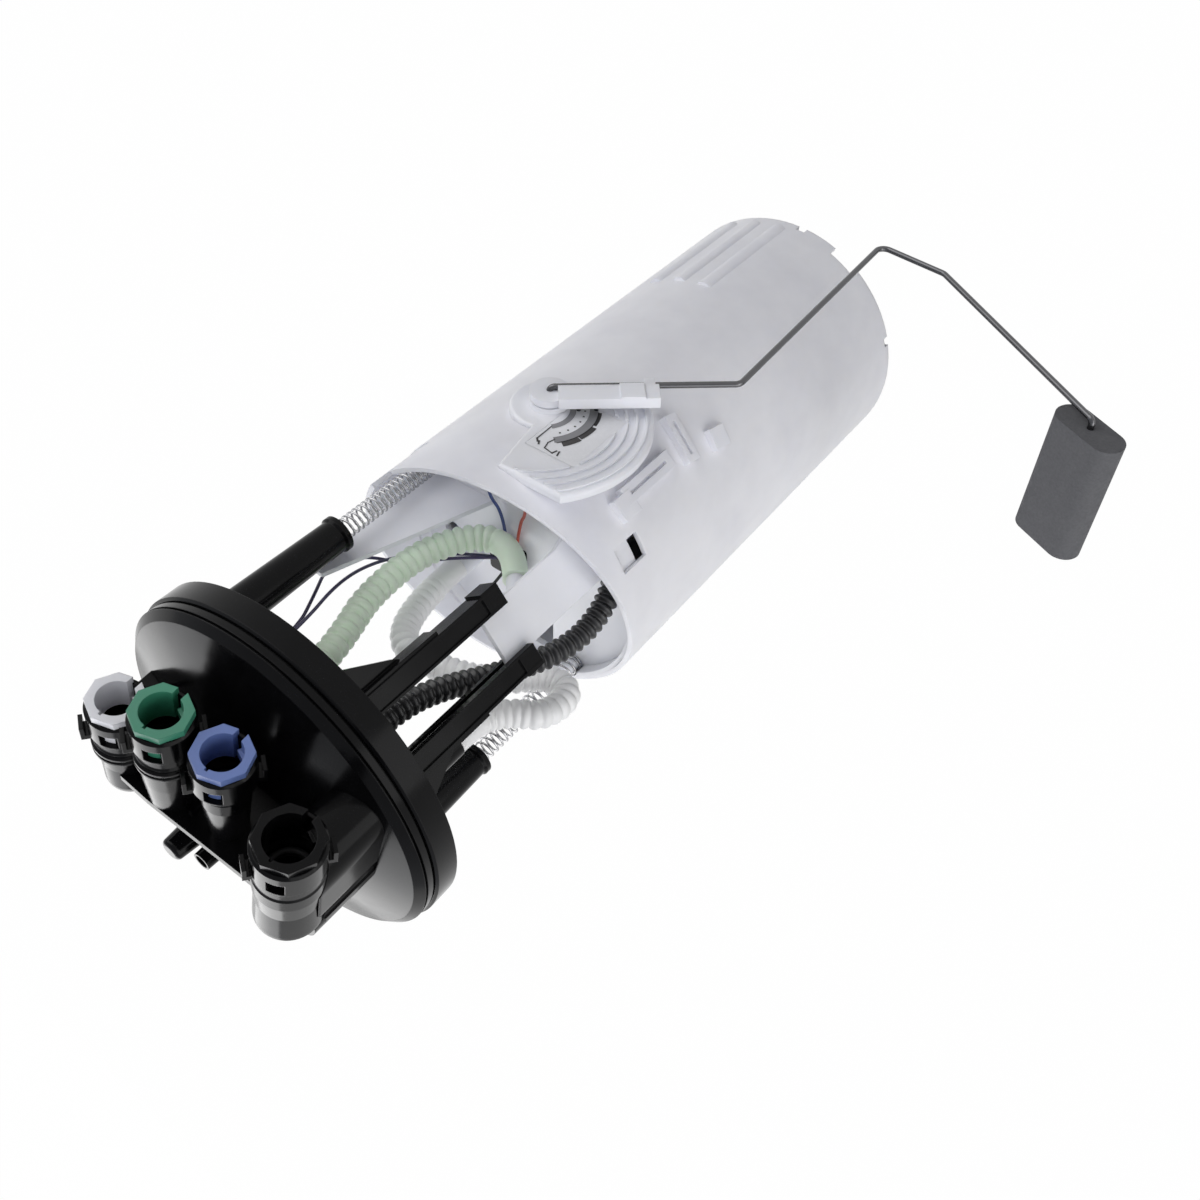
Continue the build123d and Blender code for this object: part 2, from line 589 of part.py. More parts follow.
def pump_top_cap():
    """Outlet end of the pump with the bearing seat and outlet nipple."""
    low = CAN_TOP - 12
    top = CAN_TOP + CAP_H
    body = turned([(0, low), (CAN_R - CAN_WALL - FIT, low), (CAN_R - CAN_WALL - FIT, CAN_TOP), (CAN_R, CAN_TOP),
                   (CAN_R, CAN_TOP + 3), (CAN_R - 3, top), (5, top), (5, COVER_TOP - COVER_T - VALVE_H),
                   (0, COVER_TOP - COVER_T - VALVE_H)])
    body -= disc(BEARING_R + FIT, low - 1, low + BEARING_H)
    body += block(-13, -7, -4, 4, CAN_TOP + 2, CAN_TOP + CAP_H + 6)
    return pump * body


def pump_inlet_cap():
    """Inlet end of the pump: impeller chamber, lower bearing seat and inlet nipple."""
    chamber = CAN_BOTTOM + 12
    bottom = CAN_BOTTOM - CAP_H
    body = turned([(0, bottom), (CAN_R - 6, bottom), (CAN_R, bottom + 4), (CAN_R, CAN_BOTTOM),
                   (CAN_R - CAN_WALL - FIT, CAN_BOTTOM), (CAN_R - CAN_WALL - FIT, chamber), (0, chamber)])
    body -= disc(IMPELLER_R + PLAY, CAN_BOTTOM, CAN_BOTTOM + IMPELLER_T + 2 * PLAY)
    body -= disc(BEARING_R + FIT, chamber - BEARING_H, chamber + 1)
    body -= disc(SHAFT_R + PLAY, CAN_BOTTOM - 3, chamber)
    inlet_x = IMPELLER_R - 6
    body -= disc(2.5, bottom - 1, CAN_BOTTOM + 1, inlet_x, 0)
    return pump * body


def pump_magnets():
    """Two arc magnets held against the can."""
    shell = ring(MAGNET_R, MAGNET_R - MAGNET_T, CAN_BOTTOM + 14, CAN_TOP - 14)
    cut = block(-CAN_R, CAN_R, -5, 5, CAN_BOTTOM, CAN_TOP)
    return pump * (shell - cut)


def pump_bearings():
    """Sintered bushes in the two end caps."""
    upper = ring(BEARING_R, SHAFT_R + RUN, CAN_TOP - 12, CAN_TOP - 12 + BEARING_H - 0.2)
    lower = ring(BEARING_R, SHAFT_R + RUN, CAN_BOTTOM + 12 - BEARING_H, CAN_BOTTOM + 12)
    return Compound(children=[pump * upper, pump * lower])


def armature():
    """Motor armature: slotted core, commutator and shaft."""
    core = disc(ARMATURE_R, ARMATURE_BOTTOM, ARMATURE_TOP)
    for i in range(8):
        core -= Rot(0, 0, 45 * i) * block(ARMATURE_R - 4, ARMATURE_R + 1, -1, 1, ARMATURE_BOTTOM, ARMATURE_TOP)
    core += disc(7, ARMATURE_TOP, ARMATURE_TOP + 9)
    core += disc(SHAFT_R, CAN_BOTTOM + PLAY, CAN_TOP - 12 + BEARING_H - 1)
    return pump * core


def impeller():
    """Side-channel impeller on the shaft's end."""
    low = CAN_BOTTOM + PLAY
    wheel = ring(IMPELLER_R, SHAFT_R, low, low + IMPELLER_T)
    for i in range(IMPELLER_VANES):
        vane_gap = block(IMPELLER_R - 3, IMPELLER_R + 1, -0.9, 0.9, low, low + IMPELLER_T)
        wheel -= Rot(0, 0, 360 * i / IMPELLER_VANES) * vane_gap
    return pump * wheel


def check_valve():
    """Check valve between the pump's outlet and the cover."""
    low = COVER_TOP - COVER_T - VALVE_H
    body = turned([(0, low), (6, low), (6, low + 2), (7, low + 3), (7, low + VALVE_H), (0, low + VALVE_H)])
    return pump * body


def inlet_strainer():
    """Filter disc under the pump, against its cage."""
    top = CAN_BOTTOM - CAP_H - CAGE_LIP
    body = disc(STRAINER_R, top - STRAINER_T, top)
    body = fillet(body.edges().filter_by(GeomType.CIRCLE), 2.4)
    return pump * body


def jet_pump():
    """Riser and nozzle body that refill the pot, standing on its floor."""
    x, y = JET
    floor = POT_FLOOR + FLOOR_T
    body = disc(4, floor, JET_TOP, x, y) + disc(7, floor, floor + 10, x, y)
    body += Pos(x, y, floor + 6) * Rot(0, 90, 25) * Cylinder(3.5, 26)
    return one(body & disc(POT_R - POT_WALL - PLAY, floor, JET_TOP))


def foot_valve():
    """Rubber umbrella valve on the pot's floor."""
    floor = POT_FLOOR + FLOOR_T
    return Pos(20, -25, floor) * turned([(0, 0), (11, 0), (9, 1.6), (3, 2.6), (2, 5), (0, 5)])


def regulator():
    """Pressure regulator hanging under the cover."""
    x, y = REGULATOR
    top = COVER_TOP - COVER_T
    body = turned([(0, -REGULATOR_H), (4, -REGULATOR_H), (4, -REGULATOR_H + 5), (REGULATOR_R, -REGULATOR_H + 7),
                   (REGULATOR_R, -9), (REGULATOR_R + 1.5, -9), (REGULATOR_R + 1.5, -7), (REGULATOR_R - 2, -6),
                   (REGULATOR_R - 2, 0), (0, 0)])
    return Pos(x, y + 4, top) * body


def pump_plug():
    """Plug on the cover where the pump's leads end."""
    body = block(-1, 13, -2.5, 9, COVER_TOP, -112)
    body = fillet(body.edges().filter_by(Axis.Z), 1.5)
    return body


def riser():
    """Outlet pipe on the cover, with a nozzle that points down into the green hose's end."""
    before, end = (Vector(*point) for point in CORDS["hose_green"][1][-2:])
    reach = (end.X - RISER_X) / abs((end - before).normalized().X)
    nozzle = Plane(origin=end, z_dir=end - before) * extrude(Circle(NOZZLE_R), reach)
    tower = disc(RISER_R, COVER_TOP, RISER_TOP, RISER_X, end.Y)
    tower = fillet(tower.edges().group_by(Axis.Z)[-1], RISER_R * 0.6)
    return tower + disc(RISER_R + 2.5, COVER_TOP, COVER_TOP + 4, RISER_X, end.Y) + nozzle


def sender_face(radius):
    """Outline of the sender's face: part of a disc beside the arm's rest line, and a round hub about the pivot."""
    bend_x, bend_z = ARM_BENDS[0]
    far = PLATE_X - 2 * PLATE_R
    region = make_face(Polyline((PIVOT_X, PIVOT_Z), (bend_x, bend_z), (far, bend_z), (far, PLATE_TOP),
                                (PLATE_RIGHT, PLATE_TOP), close=True))
    sector = region & Pos(PLATE_X, PLATE_Z) * Circle(radius)
    return Plane.XZ * (sector + Pos(PIVOT_X, PIVOT_Z) * Circle(PLATE_HUB_R))


def sender_plate():
    """Sender body on the pot's side: plate with a recess for the card, curved ribs, a boss and a narrower foot."""
    plate = Pos(0, PLATE_FRONT, 0) * extrude(sender_face(PLATE_R), -PLATE_T)
    plate = fillet(plate.faces().sort_by(Axis.Y)[0].edges(), PLATE_ROUND)
    plate += Pos(0, PLATE_FRONT + 1, 0) * extrude(sender_face(PLATE_R - PLATE_OVERHANG), -POT_R)
    at_pivot = Pos(PIVOT_X, 0, PIVOT_Z) * Rot(90, 0, 0)
    plate += at_pivot * disc(BOSS_R, -PLATE_FRONT - 4, -PLATE_FRONT + BOSS_H)
    slab = Pos(0, PLATE_FRONT + 0.1, 0) * extrude(offset(sender_face(PLATE_R), -PLATE_ROUND), RIB_H + 0.1)
    card = block(CARD_X[0] - 1, CARD_X[1] + 1, PLATE_FRONT - 3, PLATE_FRONT, CARD_Z[0] - 1, CARD_Z[1] + 1)
    hub = at_pivot * disc(PLATE_HUB_R + 1, -PLATE_FRONT - 1, -PLATE_FRONT + 2 * RIB_H)
    for radius in RIB_RADII:
        arc = Pos(PLATE_X, 0, PLATE_Z) * Rot(90, 0, 0) * ring(radius, radius - RIB_T, -PLATE_FRONT - 0.1,
                                                              -PLATE_FRONT + RIB_H)
        plate += (arc & slab) - card - hub
    plate -= block(CARD_X[0] - FIT, CARD_X[1] + FIT, PLATE_FRONT - 3, PLATE_FRONT + CARD_RECESS, CARD_Z[0] - FIT,
                   CARD_Z[1] + FIT)
    plate -= disc(POT_R + FIT, POT_BOTTOM, 0)
    plate -= at_pivot * disc(WIRE_R + RUN, -PLATE_FRONT - 5, -PLATE_FRONT + 5)
    return one(plate)


def resistor_card():
    """Ceramic resistor card in the sender's recess."""
    back = PLATE_FRONT + CARD_RECESS
    return block(*CARD_X, back - CARD_T, back, *CARD_Z)


def arm_plane():
    """Plane of the arm: x along the holder, z towards the viewer of the sender."""
    bx, bz = ARM_BENDS[0]
    return Plane(origin=(PIVOT_X, 0, PIVOT_Z), x_dir=(bx - PIVOT_X, 0, bz - PIVOT_Z), z_dir=(0, -1, 0))


def wire_path():
    """Line of the float wire: hook through the pivot, four bends in one plane, last leg through the float."""
    points = [(PIVOT_X, PLATE_FRONT + 1.2, PIVOT_Z), (PIVOT_X, WIRE_Y, PIVOT_Z)]
    points += [(x, WIRE_Y, z) for x, z in ARM_BENDS]
    last = ARM_BENDS[-1]
    points.append((last[0], FLOAT_NEAR + FLOAT_LEN + 2 * LOCK_T, last[1]))
    return FilletPolyline(*points, radius=[1.8, WIRE_BEND, WIRE_BEND, WIRE_BEND, 2.4])


def wire(radius):
    """Round bar of the given radius along the float wire's line."""
    path = wire_path()
    return sweep(Plane(origin=path @ 0, z_dir=path % 0) * Circle(radius), path)


def arm_holder():
    """Holder of the float wire: hub disc, long bar beside the wire and a clip over it."""
    hub_back = -PLATE_FRONT + BOSS_H + 2 * PLAY
    front = -WIRE_Y + 1.6
    hub = disc(BOSS_R, hub_back, -WIRE_Y - WIRE_R - FIT)
    bar_y = -WIRE_R - 0.1
    bar = block(BAR_FROM, BAR_L, bar_y - BAR_W, bar_y, front - BAR_T, front)
    bar += block(BAR_FROM, BOSS_R, bar_y - BAR_W + 2, bar_y, hub_back, front)
    bar += block(CLIP_X - 9, CLIP_X, bar_y - BAR_W, bar_y, front - 1, front + 0.7)
    clip = block(CLIP_X, CLIP_X + CLIP_L, bar_y - 1, WIRE_R + 1.3, front - BAR_T + 0.2, front)
    clip -= block(CLIP_X - 1, CLIP_X + CLIP_L + 1, -WIRE_R - FIT, WIRE_R + FIT, 0, -WIRE_Y)
    return one(arm_plane() * (hub + bar + clip) - wire(WIRE_R + FIT))


def wiper():
    """Spring strip under the holder with two contact fingers over the card."""
    top = -WIRE_Y + 1.6 - BAR_T
    strip = block(BOSS_R + 0.5, FINGERS[-1] + 3.5, -8, -2, top - 0.4, top)
    for x in FINGERS:
        strip += disc(0.9, -PLATE_FRONT + 0.3, top - 0.2, x, -5)
    return arm_plane() * strip


def float_body():
    """Foam float: flat-sided bar with rounded edges and a bore for the wire."""
    x, z = ARM_BENDS[-1]
    outline = Rot(0, 0, FLOAT_LEAN) * RectangleRounded(FLOAT_LONG, FLOAT_THICK, FLOAT_THICK / 2 - 0.2)
    body = extrude(outline, FLOAT_LEN)
    body -= disc(WIRE_R + RUN, -1, FLOAT_LEN + 1)
    return Pos(x, FLOAT_NEAR + FLOAT_LEN, z) * Rot(90, 0, 0) * body


def float_lock():
    """Push-on washer that keeps the float on the wire."""
    x, z = ARM_BENDS[-1]
    near = FLOAT_NEAR + FLOAT_LEN + PLAY
    return Pos(x, near + LOCK_T, z) * Rot(90, 0, 0) * ring(LOCK_R, WIRE_R, 0, LOCK_T)


def bend_radii(points):
    """Radius of each corner of a route: 0.45 of its shorter run over the tangent of half the turn."""
    radii = []
    for before, corner, after in zip(points, points[1:], points[2:]):
        first, second = Vector(*corner) - Vector(*before), Vector(*after) - Vector(*corner)
        turn = radians(first.get_angle(second))
        radii.append(0.45 * min(first.length, second.length) / tan(turn / 2))
    return radii


def cord_path(points):
    """Straight runs joined by the largest tangent arcs that fit them."""
    return FilletPolyline(*points, radius=bend_radii(points))


def cord(name):
    """Plain round tube along a cord's route; prints its length and bend radii."""
    radius, points = CORDS[name]
    path = cord_path(points)
    section = Plane(origin=path @ 0, z_dir=path % 0) * Circle(radius)
    tube = sweep(section, path)
    ideal = section.area * path.length
    radii = [round(r) for r in bend_radii(points)]
    print(f"{name}: length {path.length:.0f}, radii {radii}, volume {tube.volume / ideal:.4f} of section x length")
    return tube


def main():
    os.makedirs("parts", exist_ok=True)
    save("flange_cap", flange_cap())
    save("connector_wall", connector_wall())
    for name in PORTS:
        save(f"port_{name}", port_body(name))
        save(f"latch_{name}", port_latch(name))
    save("port_seals", port_seals())
    save("socket_shroud", socket())
    save("socket_pins", socket_pins())
    save("nipple_cap", nipple_cap())
    for name in TUBES:
        save(f"guide_tube_{name}", guide_tube(name))
        save(f"spring_{name}", spring(name))
    for side in ("left", "right"):
        save(f"guide_rail_{side}", guide_rail(side))
    save("pot", pot())
    save("pot_cover", pot_cover())
    save("pump_can", pump_can())
    save("pump_top_cap", pump_top_cap())
    save("pump_inlet_cap", pump_inlet_cap())
    save("pump_magnets", pump_magnets())
    save("pump_bearings", pump_bearings())
    save("armature", armature())
    save("impeller", impeller())
    save("check_valve", check_valve())
    save("inlet_strainer", inlet_strainer())
    save("jet_pump", jet_pump())
    save("foot_valve", foot_valve())
    save("pressure_regulator", regulator())
    save("pump_plug", pump_plug())
    save("outlet_riser", riser())
    save("sender_plate", sender_plate())
    save("resistor_card", resistor_card())
    save("arm_holder", arm_holder())
    save("wiper_contact", wiper())
    save("float_wire", wire(WIRE_R))
    save("float_body", float_body())
    save("float_lock", float_lock())
    for name in CORDS:
        save(name, cord(name))


main()
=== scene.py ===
"""Look of the in-tank fuel pump module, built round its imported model.

Blender units are metres, +Z points out of the tank and the origin is the centre of the flange's seat.
Sizes in the tables below are in millimetres, as in the model's source, and mm() turns them into metres.
"""
import bpy
from math import cos, sin, pi, radians
from mathutils import Matrix, Vector


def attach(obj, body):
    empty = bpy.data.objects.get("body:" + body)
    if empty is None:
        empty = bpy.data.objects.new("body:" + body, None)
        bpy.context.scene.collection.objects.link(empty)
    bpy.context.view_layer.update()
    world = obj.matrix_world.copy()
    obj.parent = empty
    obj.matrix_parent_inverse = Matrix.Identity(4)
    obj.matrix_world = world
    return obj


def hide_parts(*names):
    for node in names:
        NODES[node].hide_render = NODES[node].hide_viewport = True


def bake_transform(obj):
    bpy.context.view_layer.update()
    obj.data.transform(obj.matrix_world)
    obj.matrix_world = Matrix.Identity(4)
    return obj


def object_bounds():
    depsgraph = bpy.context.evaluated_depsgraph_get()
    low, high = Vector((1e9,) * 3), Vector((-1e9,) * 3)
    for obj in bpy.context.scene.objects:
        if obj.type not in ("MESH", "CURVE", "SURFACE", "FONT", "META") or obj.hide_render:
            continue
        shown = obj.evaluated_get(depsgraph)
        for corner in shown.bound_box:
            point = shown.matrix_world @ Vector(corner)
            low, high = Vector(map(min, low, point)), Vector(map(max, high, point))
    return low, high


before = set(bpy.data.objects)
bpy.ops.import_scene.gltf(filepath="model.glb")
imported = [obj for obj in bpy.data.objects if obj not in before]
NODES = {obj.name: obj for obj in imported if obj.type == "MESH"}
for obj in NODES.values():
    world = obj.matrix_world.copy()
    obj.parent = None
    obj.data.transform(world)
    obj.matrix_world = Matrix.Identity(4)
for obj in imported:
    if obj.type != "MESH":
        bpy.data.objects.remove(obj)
CAD_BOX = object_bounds()
MM = 0.001


def mm(*values):
    """Millimetres as a vector in metres."""
    return Vector(values) * MM


# Camera of the photograph
CAMERA_AT = mm(-219.0, -332.0, 141.0)
CAMERA_RIGHT = Vector((-0.80228, -0.02521, -0.59641))
CAMERA_DOWN = Vector((-0.44678, 0.68797, 0.57191))
CAMERA_LENS = 36.0

# Springs: axis, seat on the cover, z of the turns' top, pitch
SPRINGS = {
    "upper": (41.0, -29.6, -122.0, 6.0, 2.45),
    "lower": (-25.5, 45.0, -118.0, 6.0, 2.9),
}
SPRING_R = 4.2
SPRING_WIRE = 0.9

# Routes of hoses and leads: outer radius and points
HOSE_R = 5.5
BLACK_HOSE_R = 4.6
LEAD_R = 0.65    # as slim as in the photograph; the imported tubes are 0.8
ROUTES = {
    "hose_green": (HOSE_R, [
        (15, -10, -8), (15, -10, -22), (19, -10, -40), (25.5, -10, -58), (26, -10, -88), (14, -10, -109),
        (-2, -10, -110), (-12, -10, -98)]),
    "hose_cream": (HOSE_R, [
        (24, 10, -104), (23, 10, -78), (13, 10, -58), (-8, 10, -60), (-25, 12, -68), (-37, 15, -85),
        (-50, 15, -84), (-50, 13, -68), (-39, 11, -60), (-33, 10, -50), (-33, 10, -37)]),
    "hose_black": (BLACK_HOSE_R, [
        (-26, -21, -4), (-26, -21, -18), (-28, -17, -36), (-36, -8, -60), (-46, -5, -86), (-47, -9, -106),
        (-42, -18, -123), (-42, -18, -134)]),
    "lead_purple_a": (LEAD_R, [
        (26, -15, 18.8), (26, -19, -24), (35, -18, -42), (44, -15, -56), (40, -13, -70), (33, -2, -84),
        (20, 0, -101), (9, 1.5, -111.4)]),
    "lead_purple_b": (LEAD_R, [
        (24, -17.5, 18.9), (25, -21, -26), (33, -18, -52), (35.5, -10, -74), (32, 0, -94), (20, 1, -105),
        (11, 2, -111.4)]),
    "lead_black": (LEAD_R, [(21, -1, 19.5), (19, 4, -26), (12, 18, -52), (6, 17, -84), (5, 6, -111.4)]),
    "lead_blue": (LEAD_R, [
        (8, -2.6, -116.5), (9, -18, -116.6), (14, -28, -113.5), (12, -40, -113.5), (8, -53, -115.5)]),
    "lead_red": (LEAD_R, [
        (3, -2.6, -116.5), (1, -18, -116.6), (-5, -28, -113.5), (-4, -40, -113.5), (0, -53.6, -115.5)]),
}

# Corrugation: pitch, depth, sharpness of the crests, smooth length at the start and at the end
CORRUGATION = {
    "hose_green": (3.9, 1.35, 0.7, 5.0, 22.0),
    "hose_cream": (3.4, 1.0, 0.8, 12.0, 12.0),
    "hose_black": (3.3, 1.3, 1.3, 8.0, 8.0),
}
CUFF_DROP = 0.5     # how much slimmer a smooth stretch is than the crests
LEAD_STEP = 1.2     # length of one straight piece of a lead


def link(name, mesh, material):
    """New object with one material."""
    obj = bpy.data.objects.new(name, mesh)
    bpy.context.scene.collection.objects.link(obj)
    mesh.materials.append(material)
    return obj


def smooth(mesh):
    """Smooth shading on every face."""
    mesh.polygons.foreach_set("use_smooth", [True] * len(mesh.polygons))
    mesh.update()


def route_line(points):
    """Points along the smooth line of a route, in metres."""
    curve = bpy.data.curves.new("route", "CURVE")
    curve.dimensions = "3D"
    curve.resolution_u = 40
    spline = curve.splines.new("NURBS")
    spline.points.add(len(points) - 1)
    for control, point in zip(spline.points, points):
        control.co = (*mm(*point), 1.0)
    spline.order_u = 3
    spline.use_endpoint_u = True
    carrier = bpy.data.objects.new("route", curve)
    bpy.context.scene.collection.objects.link(carrier)
    line = bpy.data.meshes.new_from_object(carrier.evaluated_get(bpy.context.evaluated_depsgraph_get()))
    found = [vertex.co.copy() for vertex in line.vertices]
    bpy.data.objects.remove(carrier)
    bpy.data.curves.remove(curve)
    bpy.data.meshes.remove(line)
    return found


def evenly(line, step):
    """The same line with points a step apart, and its length."""
    reach = [0.0]
    for before, after in zip(line, line[1:]):
        reach.append(reach[-1] + (after - before).length)
    count = max(2, round(reach[-1] / step))
    points, j = [], 0
    for i in range(count + 1):
        s = reach[-1] * i / count
        while j < len(line) - 2 and reach[j + 1] < s:
            j += 1
        share = (s - reach[j]) / max(reach[j + 1] - reach[j], 1e-12)
        points.append(line[j].lerp(line[j + 1], min(max(share, 0.0), 1.0)))
    return points, reach[-1]


def tube(name, points, radius_at, sides):
    """Closed tube round a line of points; radius_at gives the radius at each point's number."""
    count = len(points)
    tangents = [(points[min(i + 1, count - 1)] - points[max(i - 1, 0)]).normalized() for i in range(count)]
    across = tangents[0].orthogonal().normalized()
    vertices, faces = [], []
    for i, (point, tangent) in enumerate(zip(points, tangents)):
        across = (across - tangent * across.dot(tangent)).normalized()
        other = tangent.cross(across)
        radius = radius_at(i)
        for k in range(sides):
            turn = 2 * pi * k / sides
            vertices.append(point + (across * cos(turn) + other * sin(turn)) * radius)
    for i in range(count - 1):
        for k in range(sides):
            a, b = i * sides + k, i * sides + (k + 1) % sides
            faces.append((a, b, b + sides, a + sides))
    faces.append(tuple(reversed(range(sides))))
    faces.append(tuple((count - 1) * sides + k for k in range(sides)))
    mesh = bpy.data.meshes.new(name)
    mesh.from_pydata(vertices, [], faces)
    smooth(mesh)
    return mesh


def new_shader(name, colour, roughness, metallic=0.0, **sockets):
    """Material with one Principled shader; returns the material, its tree and the shader."""
    material = bpy.data.materials.new(name)
    material.use_nodes = True
    tree = material.node_tree
    shader = tree.nodes["Principled BSDF"]
    shader.inputs["Base Color"].default_value = (*colour, 1.0)
    shader.inputs["Roughness"].default_value = roughness
    shader.inputs["Metallic"].default_value = metallic
    for socket, value in sockets.items():
        shader.inputs[socket.replace("_", " ")].default_value = value
    return material, tree, shader


def coordinates(tree, stretch=(1.0, 1.0, 1.0)):
    """Object coordinates, scaled along each axis."""
    source = tree.nodes.new("ShaderNodeTexCoord")
    mapping = tree.nodes.new("ShaderNodeMapping")
    mapping.inputs["Scale"].default_value = stretch
    tree.links.new(source.outputs["Object"], mapping.inputs["Vector"])
    return mapping.outputs["Vector"]


def noise(tree, vector, scale, detail=3.0, roughness=0.55):
    """Noise value, 0 to 1."""
    node = tree.nodes.new("ShaderNodeTexNoise")
    node.inputs["Scale"].default_value = scale
    node.inputs["Detail"].default_value = detail
    node.inputs["Roughness"].default_value = roughness
    tree.links.new(vector, node.inputs["Vector"])
    return node.outputs["Fac"]


def shaded(tree, shader, value, low, high, start=0.3, end=0.7):
    """Base colour between two colours by a value."""
    ramp = tree.nodes.new("ShaderNodeValToRGB")
    ramp.color_ramp.elements[0].position = start
    ramp.color_ramp.elements[0].color = (*low, 1.0)
    ramp.color_ramp.elements[1].position = end
    ramp.color_ramp.elements[1].color = (*high, 1.0)
    tree.links.new(value, ramp.inputs["Fac"])
    tree.links.new(ramp.outputs["Color"], shader.inputs["Base Color"])


def patchy(tree, shader, value, low, high):
    """Roughness between two numbers by a value."""
    span = tree.nodes.new("ShaderNodeMapRange")
    span.inputs["From Min"].default_value = 0.3
    span.inputs["From Max"].default_value = 0.7
    span.inputs["To Min"].default_value = low
    span.inputs["To Max"].default_value = high
    tree.links.new(value, span.inputs["Value"])
    tree.links.new(span.outputs["Result"], shader.inputs["Roughness"])


def bumped(tree, shader, layers, bevel=0.0):
    """Relief from (value, strength, height in metres) layers over softened edges."""
    normal = None
    if bevel:
        edge = tree.nodes.new("ShaderNodeBevel")
        edge.samples = 4
        edge.inputs["Radius"].default_value = bevel
        normal = edge.outputs["Normal"]
    for value, strength, height in layers:
        node = tree.nodes.new("ShaderNodeBump")
        node.inputs["Strength"].default_value = strength
        node.inputs["Distance"].default_value = height
        tree.links.new(value, node.inputs["Height"])
        if normal:
            tree.links.new(normal, node.inputs["Normal"])
        normal = node.outputs["Normal"]
    tree.links.new(normal, shader.inputs["Normal"])


def moulded(name, colour, roughness=0.35, spread=0.12, grain=0.12, wave=0.25, edge=0.0003, cloud=45.0,
            **sockets):
    """Moulded plastic: slight colour flow, uneven gloss, fine grain and shallow sink marks. Large, strong
    colour clouds also serve as painted shade.
    """
    material, tree, shader = new_shader(name, colour, roughness, **sockets)
    vector = coordinates(tree)
    # Colour clouds: real colour flow of the moulding. On the pot, with larger and stronger clouds, they are
    # also painted shade standing in for light and shade seen through its translucent wall.
    flow_and_painted_shade = noise(tree, vector, cloud, 4.0)
    low = tuple(c * (1 - spread) for c in colour)
    high = tuple(min(1.0, c * (1 + spread)) for c in colour)
    shaded(tree, shader, flow_and_painted_shade, low, high)
    patchy(tree, shader, noise(tree, vector, 90.0, 5.0), roughness * 0.8, roughness * 1.25)
    bumped(tree, shader, [(noise(tree, vector, 28.0, 2.0), wave, 0.0004),
                          (noise(tree, vector, 1400.0, 2.0), grain, 0.00006)], edge)
    return material


def wire_steel(name, colour, roughness=0.3):
    """Drawn steel: fine cloudy gloss and tiny pits."""
    material, tree, shader = new_shader(name, colour, roughness, 1.0)
    vector = coordinates(tree)
    shaded(tree, shader, noise(tree, vector, 120.0, 4.0), tuple(c * 0.9 for c in colour), colour)
    patchy(tree, shader, noise(tree, vector, 300.0, 3.0), roughness * 0.9, roughness * 1.15)
    bumped(tree, shader, [(noise(tree, vector, 900.0, 2.0), 0.05, 0.00002)])
    return material


def foam(name):
    """Closed-cell foam: small cells, dull and dark."""
    colour = (0.050, 0.050, 0.054)
    material, tree, shader = new_shader(name, colour, 0.82, Specular_IOR_Level=0.35)
    vector = coordinates(tree)
    cells = tree.nodes.new("ShaderNodeTexVoronoi")
    cells.inputs["Scale"].default_value = 1300.0
    tree.links.new(vector, cells.inputs["Vector"])
    shaded(tree, shader, noise(tree, vector, 900.0, 4.0, 0.7), (0.092, 0.092, 0.097), (0.115, 0.115, 0.121))
    patchy(tree, shader, noise(tree, vector, 200.0), 0.7, 0.92)
    dents = (noise(tree, vector, 60.0), 0.25, 0.0005)
    bumped(tree, shader, [(cells.outputs["Distance"], 0.3, 0.0001), dents], 0.0006)
    return material


def woven(name, colour):
    """Fine filter mesh."""
    material, tree, shader = new_shader(name, colour, 0.8)
    vector = coordinates(tree)
    threads = []
    for direction in ("X", "Y"):
        wave = tree.nodes.new("ShaderNodeTexWave")
        wave.bands_direction = direction
        wave.inputs["Scale"].default_value = 500.0
        tree.links.new(vector, wave.inputs["Vector"])
        threads.append((wave.outputs["Fac"], 0.5, 0.0001))
    shaded(tree, shader, noise(tree, vector, 120.0), tuple(c * 0.85 for c in colour), colour)
    bumped(tree, shader, threads)
    return material


def ceramic(name):
    """Fired ceramic card with a faint speckle."""
    material, tree, shader = new_shader(name, (0.82, 0.82, 0.84), 0.5)
    vector = coordinates(tree)
    shaded(tree, shader, noise(tree, vector, 1200.0, 3.0), (0.81, 0.81, 0.83), (0.85, 0.85, 0.87))
    patchy(tree, shader, noise(tree, vector, 300.0), 0.42, 0.6)
    bumped(tree, shader, [(noise(tree, vector, 2200.0), 0.1, 0.00004)])
    return material


def rubber(name, colour=(0.018, 0.018, 0.018)):
    """Matt rubber with bloom."""
    material, tree, shader = new_shader(name, colour, 0.6)
    vector = coordinates(tree)
    shaded(tree, shader, noise(tree, vector, 300.0), colour, tuple(c * 2.2 for c in colour))
    patchy(tree, shader, noise(tree, vector, 150.0), 0.5, 0.75)
    bumped(tree, shader, [(noise(tree, vector, 1500.0), 0.2, 0.00005)])
    return material


MILK = (0.87, 0.875, 0.92)
BLACK = moulded("black plastic", (0.003, 0.003, 0.0034), 0.16, 0.35, 0.04, 0.10, 0.0004,
                Specular_IOR_Level=0.11)
NATURAL = moulded("natural plastic", MILK, 0.36, 0.03, 0.10, 0.30, 0.0004, Subsurface_Weight=0.3,
                  Subsurface_Radius=(0.004, 0.0043, 0.005), Subsurface_Scale=1.0)
